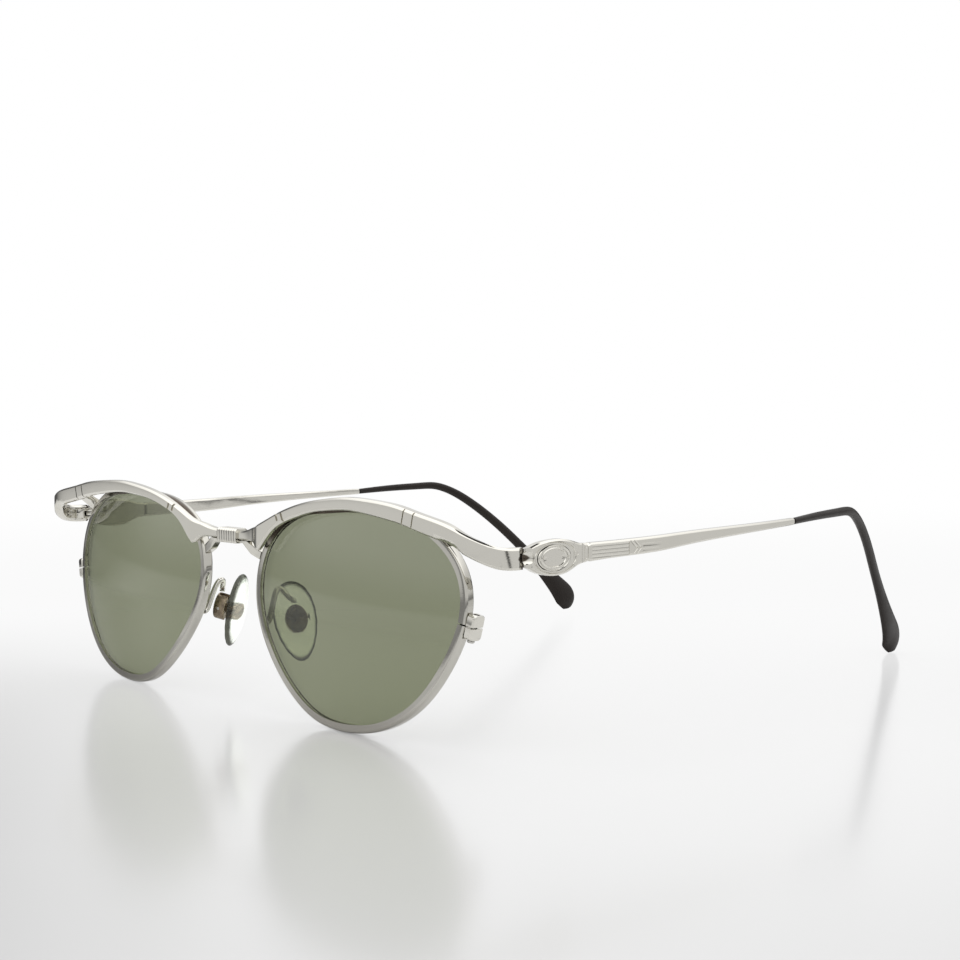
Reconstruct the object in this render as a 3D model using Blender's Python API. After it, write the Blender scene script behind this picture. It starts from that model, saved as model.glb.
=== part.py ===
"""Round metal sunglasses with a sculpted brow bar, grey-green lenses and folding temples.

Lengths are in metres. The wearer looks along -Y, so -Y is the front of the glasses and +X is the
wearer's left. +Z is up, and Z = 0 is the table that the rims and the temple tips stand on.
The origin lies midway between the front of the bridge collar and the back of the temple tips.
Each sub-part is worked out for the left side and mirrored across X = 0 for the right one.
"""
import bmesh
import bpy
import numpy as np
from math import cos, pi, radians, sin
from mathutils import Matrix, Vector

# Clearances
seat_gap = 0.00015
hinge_gap = 0.0002
bore_play = 0.00012
cut_overrun = 0.0005

# Facets of the round pieces
round_sides = 16

# Lenses, ground from curved glass; the outline is in shares of half the width and half the height,
# counter-clockwise from the temple side as the wearer's left lens is seen from the front
lens_width = 0.048
lens_height = 0.0346
lens_thickness = 0.0014
lens_curve_radius = 0.107
lens_bevel = 0.00035
lens_tilt = radians(3.1)
lens_wrap = radians(4.1)
bridge_gap = 0.0191
lens_outline_shares = (
    (0.99, 0.08), (0.93, 0.57), (0.62, 0.89), (0.29, 0.98), (0.01, 1.0), (-0.27, 0.97), (-0.6, 0.9),
    (-0.93, 0.59), (-0.99, 0.05), (-0.80, -0.42), (-0.56, -0.74), (-0.29, -0.95), (0.01, -1.0),
    (0.31, -0.94), (0.59, -0.75), (0.82, -0.42),
)
lens_ring_shares = (0.7, 0.35)
outline_steps = 4
outline_fine_steps = 20

# Rims: a grooved wire bent round each lens and split at the temple side
rim_width = 0.0014
rim_depth = 0.0019
rim_front_stand = 0.0004
rim_bevel = 0.00032
rim_groove = 0.0006
rim_slit = 0.00025

# Rim locks: two blocks and a screw that draw the split rim together
lock_reach = 0.0015
lock_height = 0.0040
lock_depth = 0.0027
lock_front_stand = 0.0003
lock_bevel = 0.00025
lock_round = 0.0006
lock_round_steps = 3
lock_screw_radius = 0.00035
lock_screw_head_radius = 0.0006
lock_screw_head_height = 0.0004

# Brow bar: rows are place along the stretch, top edge, height and depth of the bar, in shares of the
# stretch, of half the lens height above the lens centre, of brow_height and of brow_depth; bridge rows
# end with the bar's set-back towards the nose in shares of brow_set_back
brow_height = 0.0034
brow_depth = 0.0020
brow_lead = 0.00064
brow_set_back = 0.0012
brow_chamfer = 0.00035
brow_steps = 2
brow_bridge_shares = (
    (0.0, 0.711, 0.5, 0.9, 1.0), (0.5, 0.722, 0.5, 0.9, 0.9), (0.77, 0.76, 0.68, 0.8, 0.6),
    (0.93, 0.78, 0.94, 0.7, 0.38),
)
brow_arch_shares = (
    (-0.967, 0.81, 1.33, 0.66), (-0.867, 0.865, 0.93, 0.68), (-0.733, 0.94, 0.62, 0.75),
    (-0.542, 1.025, 0.59, 0.85), (-0.325, 1.09, 0.56, 0.95), (-0.104, 1.13, 0.61, 1.0),
    (0.108, 1.15, 0.65, 1.0), (0.429, 1.13, 0.78, 1.0), (0.633, 1.095, 0.81, 1.0), (0.8125, 1.045, 0.85, 0.95),
)
brow_corner_shares = (
    (0.0, 0.985, 0.87, 0.9), (0.25, 0.92, 0.93, 0.87), (0.5, 0.845, 0.97, 0.85), (0.75, 0.785, 1.0, 0.85),
    (1.0, 0.765, 1.0, 0.85),
)
endpiece_reach = 0.009
endpiece_radius = 0.0077
endpiece_length = 0.0024

# Bridge collar: a ribbed sleeve round the middle of the brow bar
collar_width = 0.0059
collar_wall = 0.00025
collar_rib_rise = 0.00012
collar_ribs = 8
collar_rib_steps = 4

# Lugs that carry the rims on the brow bar
bridge_lug_station_share = 0.453
bridge_lug_height = 0.0013
bridge_lug_depth = 0.0012
bridge_lug_foot = 0.0016
end_lug_station_share = 0.09
end_lug_width = 0.0022
end_lug_height = 0.0012

# Pad arms: wires that rise from the backs of the rims, loop over and carry the pad boxes. Climb rows
# are shares of arm_back, arm_rise and arm_lean; fall rows are the way to the box and the bulge back
arm_radius = 0.00055
arm_station_share = 0.525
arm_back = 0.0032
arm_rise = 0.0056
arm_lean = 0.0008
arm_sides = 8
arm_steps = 3
arm_climb_shares = ((0.0, 0.0, 0.0), (0.2, 0.06, 0.0), (0.44, 0.42, 0.25), (0.72, 0.83, 0.7), (1.0, 1.0, 1.0))
arm_fall_shares = ((0.2, 0.14), (0.6, 0.06))

# Pad boxes, studs and the screws that the pads rock on
box_height = 0.0050
box_width = 0.0038
box_depth = 0.0022
box_slot = 0.0012
box_floor = 0.0006
stud_radius = 0.0015
stud_thickness = 0.0006
stud_ear = 0.0008
stud_ear_height = 0.0015
pad_screw_radius = 0.00032
pad_screw_head_radius = 0.0006
pad_screw_head_height = 0.0003
pad_stand = 0.0018

# Nose pads: clear silicone drops, wider at the upper end
pad_length = 0.0143
pad_width = 0.0074
pad_thickness = 0.0025
pad_spread = 0.0095
pad_back = 0.0089
pad_drop = 0.0037
pad_splay = radians(31)
pad_slant = radians(17)
pad_sides = 20
pad_widening_share = -0.13
pad_section_shares = ((0.0, 0.78), (0.14, 0.95), (0.36, 1.0), (0.62, 0.93), (0.84, 0.7), (0.97, 0.35))

# Hinges: two knuckles on the front, one on the temple, and an upright screw
hinge_radius = 0.00125
hinge_height = 0.0032
hinge_leaf = 0.0007
hinge_front_leaf_length = 0.0032
hinge_temple_leaf_length = 0.0043
hinge_screw_radius = 0.0005
hinge_screw_head_radius = 0.00085
hinge_screw_head_height = 0.0003

# Temples: a stamped head, a neck groove and a bar that tapers back. Head rows are place along the
# head and height; bar rows are place along the bar, height, thickness, rise and toe-in, all in shares
temple_thickness = 0.0016
temple_chamfer = 0.0003
temple_steps = 2
temple_run = 0.093
temple_rise = 0.0022
temple_toe_in = 0.0176
head_length = 0.0135
head_height = 0.0057
head_drop = 0.0003
neck_groove_width = 0.0007
neck_groove_depth = 0.00022
head_shares = (
    (0.0, 0.5), (0.08, 0.6), (0.17, 0.78), (0.32, 0.94), (0.49, 1.0), (0.67, 0.92), (0.81, 0.7), (0.9, 0.57),
    (1.0, 0.52),
)
straight_bar_shares = (
    (0.0, 0.52, 1.0, 0.0, 0.0), (0.07, 0.48, 1.0, 0.05, 0.0), (0.15, 0.47, 1.0, 0.09, 0.0),
    (0.23, 0.45, 1.0, 0.17, 0.0),
)
curved_bar_shares = ((0.36, 0.36, 0.94, 0.4, 0.025), (0.55, 0.27, 0.86, 0.58, 0.065))

# Plaque set in the head; rows are the size of its steps and how far they stand out of the recess
plaque_place_share = 0.45
plaque_length = 0.0072
plaque_height = 0.004
plaque_recess = 0.0004
plaque_sides = 24
plaque_step_shares = (
    (1.0, 0.0), (1.0, 0.9), (0.93, 1.2), (0.82, 1.2), (0.78, 0.8), (0.74, 0.8), (0.6, 1.15), (0.3, 1.4),
)

# Sleeves over the temple ends. Rows run back along the temple, then down behind the ear: place,
# rise or level, toe-in, width and thickness, in shares of the temple's sizes and of the sleeve's
sleeve_width = 0.0072
sleeve_thickness = 0.0017
sleeve_sides = 12
sleeve_steps = 2
tip_reach = 0.0354
core_radius = 0.0003
core_reach_share = 0.55
sleeve_run_shares = (
    (0.767, 0.72, 0.14, 0.175, 0.76), (0.87, 0.95, 0.2, 0.218, 0.88), (0.95, 1.02, 0.26, 0.2375, 0.94),
    (1.0, 1.0, 0.3, 0.256, 0.94),
)
sleeve_drop_shares = (
    (0.119, 0.955, 0.375, 0.275, 0.94), (0.239, 0.876, 0.46, 0.3, 0.94), (0.386, 0.75, 0.575, 0.318, 0.94),
    (0.532, 0.6, 0.695, 0.3375, 0.94), (0.678, 0.435, 0.8, 0.39, 0.97), (0.862, 0.215, 0.925, 0.7, 1.0),
    (0.938, 0.11, 0.985, 0.97, 1.0), (0.953, 0.05, 1.0, 0.8, 0.85), (0.958, 0.0046, 1.0, 0.35, 0.4),
)
tip_overhang_share = 0.184375

# Places that follow from the sizes
rim_rear = rim_depth - rim_front_stand
rim_foot_back = (lens_height / 2)**2 / (2 * lens_curve_radius) + rim_rear - rim_bevel
lens_centre_x = (bridge_gap + lens_width) / 2
lens_centre_z = cos(lens_tilt) * (lens_height / 2 + rim_width) + sin(lens_tilt) * rim_foot_back
side_x = lens_centre_x + lens_width / 2 + endpiece_reach
bridge_bar_height = brow_height * brow_bridge_shares[0][2]
bridge_bar_depth = brow_depth * brow_bridge_shares[0][3]
side_thickness = brow_depth * brow_corner_shares[-1][3]
bar_centre_z = lens_centre_z + brow_corner_shares[-1][1] * lens_height / 2 - brow_height / 2
joint_back = endpiece_radius + endpiece_length - brow_lead
overall_back = joint_back + temple_run + tip_reach + tip_overhang_share * sleeve_width
front_y = (brow_lead - overall_back) / 2
face_y = front_y - brow_lead
joint_y = front_y + joint_back
hinge_x = side_x - side_thickness - seat_gap - hinge_radius
apex_z = bar_centre_z + temple_rise

# Directions, and the lens's own: across towards the temple, up, and back through the glass
left = Vector((1, 0, 0))
back = Vector((0, 1, 0))
up = Vector((0, 0, 1))
across = Vector((cos(lens_wrap), sin(lens_wrap), 0))
upward = Vector((0, sin(lens_tilt), cos(lens_tilt)))
rearward = upward.cross(across).normalized()
lens_centre = Vector((lens_centre_x, front_y, lens_centre_z))


def make_material(name, colour, metallic, roughness, alpha=1.0):
    material = bpy.data.materials.new(name)
    material.use_nodes = True
    shader = material.node_tree.nodes["Principled BSDF"]
    shader.inputs["Base Color"].default_value = (*colour, 1)
    shader.inputs["Metallic"].default_value = metallic
    shader.inputs["Roughness"].default_value = roughness
    shader.inputs["Alpha"].default_value = alpha
    return material


def spline(rows, steps, closed=False):
    """A smooth curve through the rows, which may hold any count of values, with steps to a span."""
    points = np.array([tuple(row) for row in rows], dtype=float)
    count = len(points)
    system = np.zeros((count, count))
    target = np.zeros_like(points)
    for i in range(count):
        if closed or 0 < i < count - 1:
            before, after = (i - 1) % count, (i + 1) % count
            system[i, before] += 1
            system[i, i] += 4
            system[i, after] += 1
        else:
            before, after = max(i - 1, 0), min(i + 1, count - 1)
            system[i, i] = 2
            system[i, before + after - i] = 1
        target[i] = 3 * (points[after] - points[before])
    slopes = np.linalg.solve(system, target)
    curve = []
    for i in range(count if closed else count - 1):
        j = (i + 1) % count
        for step in range(steps):
            t = step / steps
            curve.append(
                (2 * t**3 - 3 * t**2 + 1) * points[i] + (t**3 - 2 * t**2 + t) * slopes[i]
                + (3 * t**2 - 2 * t**3) * points[j] + (t**3 - t**2) * slopes[j]
            )
    if not closed:
        curve.append(points[-1])
    return curve


def make_object(name, mesh, material, side=1, pivot=None):
    """Mirror a left-side mesh if asked, face it outwards and place it, on its pivot if it has one."""
    form = bmesh.new()
    form.from_mesh(mesh)
    bmesh.ops.transform(form, matrix=Matrix.Diagonal((side, 1, 1, 1)), verts=form.verts)
    corners = [vert.co for vert in form.verts]
    low = Vector([min(corner[axis] for corner in corners) for axis in range(3)])
    high = Vector([max(corner[axis] for corner in corners) for axis in range(3)])
    origin = pivot.location if pivot else (low + high) / 2
    bmesh.ops.translate(form, vec=-origin, verts=form.verts)
    bmesh.ops.recalc_face_normals(form, faces=form.faces)
    form.to_mesh(mesh)
    form.free()
    mesh.materials.append(material)
    mesh.shade_smooth()
    mesh.set_sharp_from_angle(angle=radians(30))
    solid = bpy.data.objects.new(name, mesh)
    bpy.context.collection.objects.link(solid)
    if pivot:
        solid.parent = pivot
    else:
        solid.location = origin
    return solid


def loft(name, rings, material, side=1, closed=False, pivot=None):
    """Skin closed rings of equal counts; an open run of rings gets an end face at each end."""
    form = bmesh.new()
    loops = [[form.verts.new(point) for point in ring] for ring in rings]
    pairs = list(zip(loops, loops[1:]))
    if closed:
        pairs.append((loops[-1], loops[0]))
    for first, second in pairs:
        count = len(first)
        for i in range(count):
            j = (i + 1) % count
            form.faces.new((first[i], first[j], second[j], second[i]))
    if not closed:
        form.faces.new(loops[0][::-1])
        form.faces.new(loops[-1])
    mesh = bpy.data.meshes.new(name)
    form.to_mesh(mesh)
    form.free()
    return make_object(name, mesh, material, side, pivot)


def make_box(name, centre, axes, low, high, material, side=1, pivot=None):
    """A box between low and high, both measured from the centre along the three axes."""
    along, over, through = axes
    rings = []
    for a in (low[0], high[0]):
        rings.append([
            centre + along * a + over * b + through * c
            for b, c in ((low[1], low[2]), (high[1], low[2]), (high[1], high[2]), (low[1], high[2]))
        ])
    return loft(name, rings, material, side, pivot=pivot)


def circle(centre, first, second, radius, count):
    return [
        centre + first * radius * cos(2 * pi * i / count) + second * radius * sin(2 * pi * i / count)
        for i in range(count)
    ]


def turned(name, centre, axes, profile, material, side=1, pivot=None):
    """A turned piece: profile rows are height along the first axis and radius."""
    axis, first, second = axes
    rings = [circle(centre + axis * height, first, second, radius, round_sides) for height, radius in profile]
    return loft(name, rings, material, side, pivot=pivot)


def combine(target, tool, operation):
    """Join a second form to a solid or cut it away; the form stays as a guide."""
    change = target.modifiers.new(tool.name, "BOOLEAN")
    change.operation = operation
    change.object = tool
    change.solver = "EXACT"
    tool.hide_render = True
    tool.display_type = "WIRE"


def make_pivot(name, place, side):
    pivot = bpy.data.objects.new(name, None)
    pivot.empty_display_size = hinge_height
    pivot.location = (side * place.x, place.y, place.z)
    bpy.context.collection.objects.link(pivot)
    return pivot


outline = spline(
    [(x * lens_width / 2, z * lens_height / 2) for x, z in lens_outline_shares],
    outline_fine_steps, closed=True,
)


def lens_point(x, z, depth):
    """A point of the lens's front surface at x, z from its centre, moved back by depth."""
    sag = (x**2 + z**2) / (2 * lens_curve_radius)
    return lens_centre + across * x + upward * z + rearward * (sag + depth)


def edge_frame(index):
    """The lens's edge at a point of its outline: place, outward direction and run direction."""
    x, z = outline[index % len(outline)]
    ahead = outline[(index + 1) % len(outline)]
    behind = outline[(index - 1) % len(outline)]
    run = (across * (ahead[0] - behind[0]) + upward * (ahead[1] - behind[1])).normalized()
    return lens_point(x, z, 0), rearward.cross(run).normalized(), run


def edge_ring(index, section, slide=0.0):
    base, outward, run = edge_frame(index)
    return [base + run * slide + outward * reach + rearward * depth for reach, depth in section]


def edge_stations():
    return range(0, len(outline), outline_fine_steps // outline_steps)


def rim_seat(station_share):
    """Where a piece is soldered to the rim's outer side, with the rim's directions there."""
    base, outward, run = edge_frame(round(station_share * len(outline)))
    seat = base + outward * (rim_width + seat_gap) + rearward * (rim_depth / 2 - rim_front_stand)
    return seat, outward, run


def make_lens(name, side, material):
    """Ridge, then both surfaces: the edge is ground to a ridge that sits in the rim's groove."""
    stations = edge_stations()
    rings = [[edge_ring(i, [(lens_bevel, lens_thickness / 2)])[0] for i in stations]]
    for depth in (0, lens_thickness):
        surface = [[edge_ring(i, [(-seat_gap, depth)])[0] for i in stations]]
        for share in lens_ring_shares:
            surface.append([lens_point(*(share * outline[i]), depth) for i in stations])
        rings = rings + surface if depth else surface[::-1] + rings
    return loft(name, rings, material, side)


def make_rim(name, side, material):
    section = (
        (0, -rim_front_stand), (rim_width - rim_bevel, -rim_front_stand),
        (rim_width, rim_bevel - rim_front_stand), (rim_width, rim_rear - rim_bevel),
        (rim_width - rim_bevel, rim_rear), (0, rim_rear), (0, lens_thickness),
        (rim_groove, lens_thickness / 2), (0, 0),
    )
    rings = [edge_ring(0, section, rim_slit / 2)]
    rings += [edge_ring(i, section) for i in edge_stations()[1:]]
    rings.append(edge_ring(0, section, -rim_slit / 2))
    return loft(name, rings, material, side)


def make_rim_lock(hand, side, bright, steel):
    base, outward, run = edge_frame(0)
    near = rim_width + seat_gap
    far = near + lock_reach
    front = -lock_front_stand
    rear = front + lock_depth
    screw_place = base + outward * (near + far) / 2 + rearward * (front + rear) / 2
    for word, way in (("upper", 1), ("lower", -1)):
        name = f"{hand}_rim_lock_{word}"
        c = lock_bevel
        ends = [(rim_slit / 2, 0)]
        for step in range(lock_round_steps + 1):
            turn = step / lock_round_steps * pi / 2
            ends.append((lock_height / 2 - lock_round * (1 - sin(turn)), lock_round * (1 - cos(turn))))
        rings = [
            [
                base + run * way * level + outward * reach + rearward * depth
                for reach, depth in (
                    (near, front + inset + c), (near + c, front + inset), (far - c, front + inset),
                    (far, front + inset + c), (far, rear - inset - c), (far - c, rear - inset),
                    (near + c, rear - inset), (near, rear - inset - c),
                )
            ]
            for level, inset in ends[::way]
        ]
        block = loft(name, rings, bright, side)
        bore_radius = lock_screw_radius + seat_gap
        bore = turned(
            name + "_bore", screw_place, (run, outward, rearward),
            ((-lock_height / 2 - cut_overrun, bore_radius), (lock_height / 2 + cut_overrun, bore_radius)),
            bright, side,
        )
        combine(block, bore, "DIFFERENCE")
    foot = -lock_height / 2 - seat_gap
    turned(
        f"{hand}_rim_lock_screw", screw_place, (run, outward, rearward),
        (
            (foot - lock_screw_head_height, lock_screw_head_radius), (foot, lock_screw_head_radius),
            (foot, lock_screw_radius), (lock_height / 2 - seat_gap, lock_screw_radius),
        ),
        steel, side,
    )


def brow_controls():
    """Rows of plan x and y of the front face, heading, top, height and depth, bridge to joint."""
    corner_x = side_x - endpiece_radius
    corner_y = face_y + endpiece_radius
    rows = []
    for share, top, height, depth, behind in brow_bridge_shares:
        rows.append((share * bridge_gap / 2, face_y + behind * brow_set_back, 0, top, height, depth))
    for share, top, height, depth in brow_arch_shares:
        rows.append((lens_centre_x + share * lens_width / 2, face_y, 0, top, height, depth))
    for share, top, height, depth in brow_corner_shares:
        turn = share * pi / 2
        x = corner_x + endpiece_radius * sin(turn)
        y = corner_y - endpiece_radius * cos(turn)
        rows.append((x, y, turn, top, height, depth))
    rows.append((side_x, joint_y - hinge_gap / 2, *rows[-1][2:]))
    return rows


def brow_levels(row):
    """Top and bottom of the brow bar at one of its rows."""
    top = lens_centre_z + row[3] * lens_height / 2
    return top, top - row[4] * brow_height


def brow_section(row):
    x, y, heading = row[:3]
    inward = Vector((-sin(heading), cos(heading), 0))
    top, bottom = brow_levels(row)
    depth = row[5] * brow_depth
    c = brow_chamfer
    corners = (
        (c, top), (depth - c, top), (depth, top - c), (depth, bottom + c),
        (depth - c, bottom), (c, bottom), (0, bottom + c), (0, top - c),
    )
    return [Vector((x, y, 0)) + inward * reach + up * level for reach, level in corners]


def make_brow(material):
    rings = [brow_section(row) for row in spline(brow_controls(), brow_steps)]
    mirrored = [[Vector((-point.x, point.y, point.z)) for point in ring] for ring in rings[:0:-1]]
    return loft("brow_bar", mirrored + rings, material)


def make_collar(material):
    """A tube round the bar whose wall swells and sinks in turn, so that ribs run up and down it."""
    top, bottom = brow_levels(brow_controls()[0])
    middle = Vector((0, brow_controls()[0][1] + bridge_bar_depth / 2, (top + bottom) / 2))

    def ring(x, swell):
        d = bridge_bar_depth / 2 + seat_gap + swell
        h = bridge_bar_height / 2 + seat_gap + swell
        c = brow_chamfer
        corners = (
            (-d, h - c), (c - d, h), (d - c, h), (d, h - c),
            (d, c - h), (d - c, -h), (c - d, -h), (-d, c - h),
        )
        return [middle + left * x + back * y + up * z for y, z in corners]

    count = collar_ribs * collar_rib_steps
    outer = []
    for i in range(count + 1):
        rib = (1 - cos(2 * pi * i / collar_rib_steps)) / 2
        outer.append(ring(collar_width * (i / count - 1 / 2), collar_wall + collar_rib_rise * rib))
    inner = [ring(collar_width / 2, 0), ring(-collar_width / 2, 0)]
    return loft("bridge_collar", outer + inner, material, closed=True)


def make_bridge_lug(name, side, material):
    """A foot soldered under the bridge, which reaches out and down to the rim."""
    seat, outward, run = rim_seat(bridge_lug_station_share)
    row = brow_controls()[1]
    bar_end = Vector((row[0], row[1] + row[5] * brow_depth / 2, brow_levels(row)[1] - seat_gap))
    half = bridge_lug_height / 2
    deep = bridge_lug_depth / 2
    corners = ((half, -deep), (-half, -deep), (-half, deep), (half, deep))
    knee = bar_end.lerp(seat, 1 / 2) - up * half / 2
    cross = (seat - bar_end).normalized().cross(back).normalized()
    foot = bridge_lug_foot / bridge_lug_height
    rings = [
        [bar_end + left * a * foot + back * b for a, b in corners],
        [knee + cross * a + back * b for a, b in corners],
        [seat - run * a + rearward * b for a, b in corners],
    ]
    return loft(name, rings, material, side)


def make_end_lug(name, side, material):
    """A bracket from the rim's outer edge forward to the back of the brow bar."""
    seat, outward, run = rim_seat(end_lug_station_share)
    row = min(spline(brow_controls(), brow_steps), key=lambda row: abs(row[0] - seat.x) + abs(row[2]))
    bar_end = Vector((seat.x, face_y + row[5] * brow_depth + seat_gap, sum(brow_levels(row)) / 2))
    half = end_lug_width / 2
    rise = end_lug_height / 2
    corners = ((half, -rise), (-half, -rise), (-half, rise), (half, rise))
    rings = [
        [bar_end + left * a + up * b for a, b in corners],
        [seat - run * a + rearward * b for a, b in corners],
    ]
    return loft(name, rings, material, side)


pad_down = Vector((sin(pad_slant), 0, -cos(pad_slant)))
pad_nose = Vector((-cos(pad_splay), sin(pad_splay), 0))
pad_nose = (pad_nose - pad_down * pad_nose.dot(pad_down)).normalized()
pad_wide = pad_down.cross(pad_nose)
pad_centre = Vector((pad_spread, front_y + pad_back, lens_centre_z - pad_drop))
pad_face = pad_centre - pad_nose * pad_thickness / 2
pad_hinge = pad_face - pad_nose * pad_stand


def tube(name, path, radius, count, material, side):
    """Round sections along a path, each square to it and none twisted against the last."""
    rings = []
    first = None
    for i, place in enumerate(path):
        run = (path[min(i + 1, len(path) - 1)] - path[max(i - 1, 0)]).normalized()
        first = run.orthogonal() if first is None else first
        first = (first - run * first.dot(run)).normalized()
        rings.append(circle(place, first, run.cross(first), radius, count))
    return loft(name, rings, material, side)


def make_pad_arm(name, side, material):
    base, outward, run = edge_frame(round(arm_station_share * len(outline)))
    start = base + outward * rim_width / 2 + rearward * (rim_rear + seat_gap)
    end = pad_hinge - pad_down * (box_height / 2 + 2 * seat_gap) - pad_nose * box_depth / 4
    rows = [
        start + back * behind * arm_back + up * above * arm_rise - left * aside * arm_lean
        for behind, above, aside in arm_climb_shares
    ]
    rows += [rows[-1].lerp(end, way) + back * bulge * arm_back for way, bulge in arm_fall_shares]
    rows += [end - pad_down * arm_radius, end]
    path = [Vector(row) for row in spline(rows, arm_steps)]
    return tube(name, path, arm_radius, arm_sides, material, side)


def make_pad_box(name, side, material):
    """A fork cut from a small oval drum, open towards the pad and at both ends."""
    half = box_depth / 2
    rings = []
    for depth, share in ((-half, 0.8), (-half + box_floor / 2, 1.0), (half, 1.0)):
        rings.append([
            pad_hinge + pad_nose * depth + pad_down * cos(2 * pi * i / round_sides) * box_height / 2 * share
            + pad_wide * sin(2 * pi * i / round_sides) * box_width / 2 * share
            for i in range(round_sides)
        ])
    drum = loft(name, rings, material, side)
    reach = box_height / 2 + cut_overrun
    slot = make_box(
        name + "_slot", pad_hinge, (pad_down, pad_nose, pad_wide), (-reach, box_floor - half, -box_slot / 2),
        (reach, half + cut_overrun, box_slot / 2), material, side,
    )
    bore_radius = pad_screw_radius + seat_gap
    bore = turned(
        name + "_bore", pad_hinge, (pad_wide, pad_down, pad_nose),
        ((-box_width, bore_radius), (box_width, bore_radius)), material, side,
    )
    combine(drum, slot, "DIFFERENCE")
    combine(drum, bore, "DIFFERENCE")
    return drum


def make_pad_screw(name, side, material):
    end = box_width / 2
    head = end + seat_gap
    return turned(
        name, pad_hinge, (pad_wide, pad_down, pad_nose),
        (
            (-end, pad_screw_radius), (head, pad_screw_radius), (head, pad_screw_head_radius),
            (head + pad_screw_head_height, pad_screw_head_radius),
        ),
        material, side,
    )


def make_stud(name, side, material, pivot):
    """A round plate moulded into the pad, with an ear that the pad screw passes through."""
    plate_low = pad_stand + seat_gap
    plate = turned(
        name, pad_hinge, (pad_nose, pad_down, pad_wide),
        ((plate_low, stud_radius), (plate_low + stud_thickness, stud_radius)), material, side, pivot,
    )
    ear = make_box(
        name + "_ear", pad_hinge, (pad_down, pad_nose, pad_wide),
        (-stud_ear_height / 2, box_floor - box_depth / 2 + 2 * seat_gap, -stud_ear / 2),
        (stud_ear_height / 2, plate_low + stud_thickness / 2, stud_ear / 2), material, side, pivot,
    )
    bore_radius = pad_screw_radius + bore_play
    bore = turned(
        name + "_bore", pad_hinge, (pad_wide, pad_down, pad_nose),
        ((-stud_ear, bore_radius), (stud_ear, bore_radius)), material, side, pivot,
    )
    combine(plate, ear, "UNION")
    combine(plate, bore, "DIFFERENCE")
    return plate


def make_nose_pad(name, side, material, pivot):
    rings = []
    for depth, share in pad_section_shares:
        ring = []
        for i in range(pad_sides):
            angle = 2 * pi * i / pad_sides
            width = pad_width / 2 * (1 + pad_widening_share * cos(angle))
            ring.append(
                pad_face + pad_nose * depth * pad_thickness + pad_down * cos(angle) * share * pad_length / 2
                + pad_wide * sin(angle) * share * width
            )
        rings.append(ring)
    pad = loft(name, rings, material, side, pivot=pivot)
    pocket_radius = stud_radius + seat_gap
    pocket_depth = stud_thickness + 2 * seat_gap
    pocket = turned(
        name + "_pocket", pad_face, (pad_nose, pad_down, pad_wide),
        ((-cut_overrun, pocket_radius), (pocket_depth, pocket_radius)), material, side, pivot,
    )
    combine(pad, pocket, "DIFFERENCE")
    return pad


def hinge_levels():
    """Bottom and top of the three knuckles, from the lowest up."""
    knuckle = (hinge_height - 2 * hinge_gap) / 3
    low = bar_centre_z - hinge_height / 2
    return [(low + i * (knuckle + hinge_gap), low + i * (knuckle + hinge_gap) + knuckle) for i in range(3)]


def make_hinge_half(name, knuckles, facing, leaf_length, side, material, pivot=None):
    """A leaf soldered inside the bar, with knuckles; facing is -1 on the front and 1 on the temple."""
    axis = Vector((hinge_x, joint_y, 0))
    axes = (back * facing, left, up)
    inner = hinge_radius - hinge_leaf
    low, high = hinge_levels()[0][0], hinge_levels()[2][1]
    relief = hinge_radius + hinge_gap
    leaf = make_box(
        name, axis, axes, (relief, inner, low + hinge_gap), (leaf_length, hinge_radius, high - hinge_gap),
        material, side, pivot,
    )
    for number, (bottom, top) in enumerate(knuckles):
        web = make_box(
            f"{name}_web_{number}", axis, axes,
            (0, inner, bottom), (relief + hinge_leaf / 2, hinge_radius, top), material, side, pivot,
        )
        knuckle = turned(
            f"{name}_knuckle_{number}", axis, (up, left, back), ((bottom, hinge_radius), (top, hinge_radius)),
            material, side, pivot,
        )
        combine(leaf, web, "UNION")
        combine(leaf, knuckle, "UNION")
    bore_radius = hinge_screw_radius + bore_play
    bore = turned(
        name + "_bore", axis, (up, left, back),
        ((low - cut_overrun, bore_radius), (high + cut_overrun, bore_radius)), material, side, pivot,
    )
    combine(leaf, bore, "DIFFERENCE")
    return leaf


def make_hinge_screw(name, side, material):
    low, head = hinge_levels()[0][0], hinge_levels()[2][1] + seat_gap
    return turned(
        name, Vector((hinge_x, joint_y, 0)), (up, left, back),
        (
            (low, hinge_screw_radius), (head, hinge_screw_radius), (head, hinge_screw_head_radius),
            (head + hinge_screw_head_height, hinge_screw_head_radius),
        ),
        material, side,
    )


def sleeve_rows():
    """The sleeve's centre line and size: x, y, z, width in the plane of the bend, and thickness."""
    middle_x = side_x - temple_thickness / 2
    rows = []
    for share, rise, toe, width, thickness in sleeve_run_shares:
        along = joint_y + share * temple_run
        level = bar_centre_z + rise * temple_rise
        rows.append((
            middle_x - toe * temple_toe_in, along, level, width * sleeve_width, thickness * sleeve_thickness,
        ))
    for share, level, toe, width, thickness in sleeve_drop_shares:
        along = joint_y + temple_run + share * tip_reach
        level = level * apex_z
        rows.append((
            middle_x - toe * temple_toe_in, along, level, width * sleeve_width, thickness * sleeve_thickness,
        ))
    return spline(rows, sleeve_steps)


def oval_rings(rows, count, radius=None):
    """Oval sections along a centre line, long in the plane of the bend, or round if a radius is given."""
    rings = []
    for i, row in enumerate(rows):
        run = (Vector(rows[min(i + 1, len(rows) - 1)][:3]) - Vector(rows[max(i - 1, 0)][:3])).normalized()
        flat = (left - run * left.dot(run)).normalized()
        tall = flat.cross(run)
        width = radius or row[3] / 2
        thick = radius or row[4] / 2
        rings.append([
            Vector(row[:3]) + flat * thick * cos(2 * pi * (j + 1 / 2) / count)
            + tall * width * sin(2 * pi * (j + 1 / 2) / count)
            for j in range(count)
        ])
    return rings


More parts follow.
